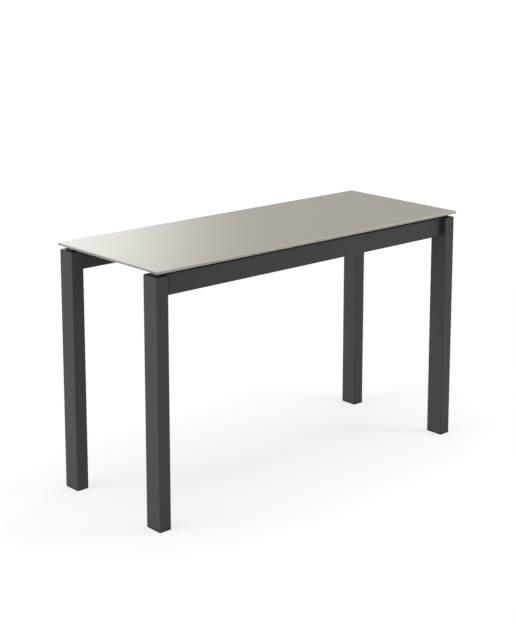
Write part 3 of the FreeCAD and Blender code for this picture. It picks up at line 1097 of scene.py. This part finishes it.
@dataclass(frozen=True)
class Softbox:
    """A large soft lamp.

    Attributes:
        name: What it is for.
        place: Its middle.
        aim: The point that it faces.
        width: Its width.
        height: Its height.
        radiance: Brightness of its face, where 1 looks white.
        glares: Whether gloss shows it.
    """

    name: str
    place: Point
    aim: Point
    width: float
    height: float
    radiance: float
    glares: bool = True

    def build(self) -> None:
        """Hang the lamp, unseen by the camera."""
        lamp = bpy.data.lights.new(self.name, "AREA")
        lamp.shape = "RECTANGLE"
        lamp.size = self.width
        lamp.size_y = self.height
        lamp.energy = self.radiance * math.pi * self.width * self.height
        holder = bpy.data.objects.new(self.name, lamp)
        holder.location = self.place
        direction = Vector(self.aim) - Vector(self.place)
        holder.rotation_euler = direction.to_track_quat("-Z", "Y").to_euler()
        holder.visible_camera = False
        holder.visible_glossy = self.glares
        bpy.context.scene.collection.objects.link(holder)


@dataclass(frozen=True)
class PhotoCamera:
    """The photograph's camera.

    Attributes:
        place: Where its lens is.
        yaw: Turn of its view from +Y towards +X, in degrees.
        pitch: Rise of its view above the horizon, in degrees.
        lens: Focal length in millimetres, for a frame 36 mm high.
        rise: Vertical shift of the frame, as a share of its height.
        reach: Distance beyond which nothing is seen.
    """

    place: Point = (-2.8858, -3.2096, 1.6771)
    yaw: float = 41.6
    pitch: float = -10.92
    lens: float = 82.05
    rise: float = -0.2
    reach: float = 200.0

    def build(self) -> None:
        """Set the camera up and make it the scene's own."""
        camera = bpy.data.cameras.new("photograph")
        camera.lens = self.lens
        camera.shift_y = self.rise
        camera.clip_end = self.reach
        holder = bpy.data.objects.new("photograph", camera)
        holder.location = self.place
        tilt = math.pi / 2 + math.radians(self.pitch)
        holder.rotation_euler = Euler((tilt, 0.0, -math.radians(self.yaw)))
        bpy.context.scene.collection.objects.link(holder)
        bpy.context.scene.camera = holder


@dataclass(frozen=True)
class Studio:
    """White floor and surround with soft lamps.

    Attributes:
        floor_reach: Half the side of the floor.
        floor_drop: How far the floor lies under the feet, so that the two faces don't fight.
        floor_color: Colour that the floor throws back on the table.
        floor_glow: Share of the seen floor that is plain white near the table, where the rest shows
            light and shadow.
        far_glow: The same share far from the table, where the lamps no longer reach.
        floor_shade: Colour of the share of the seen floor that shows light and shadow.
        glow_from: Distance where the near share ends.
        glow_to: Distance where the far share begins.
        ambient: Brightness of the surround as a light.
        horizon: Brightness of the surround at the horizon, as gloss shows it.
        ceiling: Brightness of the surround overhead, as gloss shows it.
        ceiling_from: Sine of the height above which the surround is as bright as overhead.
        screen: Brightness that a white screen behind the left end adds, as gloss shows it.
        screen_right: Directions, in degrees from +Y towards +X, between which its right edge fades in.
        screen_left: Directions between which its left edge fades in.
        screen_top: Sines of the heights between which its upper edge fades in.
        softboxes: The lamps.
    """

    floor_reach: float = 60.0
    floor_drop: float = 0.0003
    floor_color: Color = (0.8, 0.8, 0.8, 1.0)
    floor_glow: float = 0.68
    far_glow: float = 0.86
    floor_shade: Color = (0.36, 0.36, 0.36, 1.0)
    glow_from: float = 1.2
    glow_to: float = 4.5
    ambient: float = 0.5
    horizon: float = 1.0
    ceiling: float = 0.2
    ceiling_from: float = 0.2
    screen: float = 2.1
    screen_right: Span = (41.1, 34.0)
    screen_left: Span = (-10.0, 10.0)
    screen_top: Span = (0.7, 0.5)
    softboxes: tuple[Softbox, ...] = (
        Softbox(
            "left",
            place=(-8.0, 2.6, 1.8),
            aim=(0.0, 0.0, 0.4),
            width=5.4,
            height=3.8,
            radiance=6.2,
            glares=False,
        ),
        Softbox(
            "front on the right",
            place=(2.4, -2.2, 1.5),
            aim=(0.5, 0.0, 0.4),
            width=1.4,
            height=1.4,
            radiance=4.4,
            glares=False,
        ),
        Softbox(
            "overhead",
            place=(0.0, 0.0, 3.4),
            aim=(0.0, 0.0, 0.0),
            width=2.6,
            height=2.0,
            radiance=2.5,
        ),
    )

    def build(self) -> None:
        """Lay the floor, light the surround and hang the lamps."""
        self.build_floor()
        self.build_surround()
        for softbox in self.softboxes:
            softbox.build()

    def build_floor(self) -> None:
        """Lay the floor, which looks white and keeps the table's shadow."""
        mesh = bpy.data.meshes.new("floor")
        work = bmesh.new()
        bmesh.ops.create_grid(work, x_segments=1, y_segments=1, size=self.floor_reach)
        work.to_mesh(mesh)
        work.free()
        floor = bpy.data.objects.new("floor", mesh)
        floor.location.z = -self.floor_drop
        bpy.context.scene.collection.objects.link(floor)
        mesh.materials.append(self.floor_material())

    def floor_material(self) -> bpy.types.Material:
        """White floor: plain to other light, partly glowing where it is seen or mirrored.

        Returns:
            The material.
        """
        material = bpy.data.materials.new("white floor")
        material.use_nodes = True
        material.node_tree.nodes.clear()
        bench = NodeBench(material.node_tree)
        thrown = bench.add("ShaderNodeBsdfDiffuse")
        bench.feed(thrown.inputs["Color"], self.floor_color)
        shaded = bench.add("ShaderNodeBsdfDiffuse")
        bench.feed(shaded.inputs["Color"], self.floor_shade)
        distance = bench.add("ShaderNodeVectorMath", operation="LENGTH")
        bench.feed(distance.inputs[0], bench.add("ShaderNodeTexCoord").outputs["Object"])
        outwards = bench.ramp(distance.outputs["Value"], self.glow_from, self.glow_to)
        glow = bench.add("ShaderNodeEmission")
        bench.feed(glow.inputs["Strength"], bench.blend(outwards, self.floor_glow, self.far_glow))
        seen = bench.add("ShaderNodeAddShader")
        bench.feed(seen.inputs[0], shaded.outputs[0])
        bench.feed(seen.inputs[1], glow.outputs[0])
        choice = bench.add("ShaderNodeMixShader")
        bench.feed(choice.inputs[0], self.seen_rays(bench, with_gloss=True))
        bench.feed(choice.inputs[1], thrown.outputs[0])
        bench.feed(choice.inputs[2], seen.outputs[0])
        out = bench.add("ShaderNodeOutputMaterial")
        bench.feed(out.inputs["Surface"], choice.outputs[0])
        return material

    @staticmethod
    def seen_rays(bench: NodeBench, with_gloss: bool) -> bpy.types.NodeSocket:
        """Mask of the rays that see a thing rather than take its light.

        Args:
            bench: Bench of the material or the surround.
            with_gloss: Whether mirrored views count.

        Returns:
            The mask's socket.
        """
        path = bench.add("ShaderNodeLightPath")
        mask = bench.math(
            "MAXIMUM", path.outputs["Is Camera Ray"], path.outputs["Is Transmission Ray"]
        )
        return bench.math("MAXIMUM", mask, path.outputs["Is Glossy Ray"]) if with_gloss else mask

    def build_surround(self) -> None:
        """Light the surround: white where seen, paler towards the horizon in gloss, even as a light."""
        world = bpy.data.worlds.new("white surround")
        bpy.context.scene.world = world
        world.use_nodes = True
        bench = NodeBench(world.node_tree)
        background = world.node_tree.nodes["Background"]
        background.inputs["Color"].default_value = WHITE
        direction = bench.add("ShaderNodeTexCoord").outputs["Generated"]
        split = bench.add("ShaderNodeSeparateXYZ")
        bench.feed(split.inputs[0], direction)
        climb = bench.ramp(split.outputs["Z"], 0.0, self.ceiling_from)
        bearing = bench.math("ARCTAN2", split.outputs["X"], split.outputs["Y"])
        screen = bench.math("MULTIPLY", bench.ramp(split.outputs["Z"], *self.screen_top), self.screen)
        for edge in (self.screen_right, self.screen_left):
            inside = bench.ramp(bearing, *(math.radians(side) for side in edge))
            screen = bench.math("MULTIPLY", screen, inside)
        mirrored = bench.math("ADD", bench.blend(climb, self.horizon, self.ceiling), screen)
        path = bench.add("ShaderNodeLightPath")
        strength = bench.blend(path.outputs["Is Glossy Ray"], self.ambient, mirrored)
        seen = self.seen_rays(bench, with_gloss=False)
        bench.feed(background.inputs["Strength"], bench.blend(seen, strength, 1.0))


def main() -> None:
    """Load the frame, build and dress the table, and set up the studio."""
    logging.basicConfig(level=logging.INFO, format="%(name)s: %(message)s")
    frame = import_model()
    shop = FinishShop(frame["nodes"])
    TableTop().build(shop)
    LegFrame().build(shop)
    RailBed().build(shop)
    for side in Side:
        DrawLeaf(side).build(shop)
    Studio().build()
    PhotoCamera().build()
    bpy.context.scene.view_settings.view_transform = "Standard"


if __name__ == "__main__":
    main()
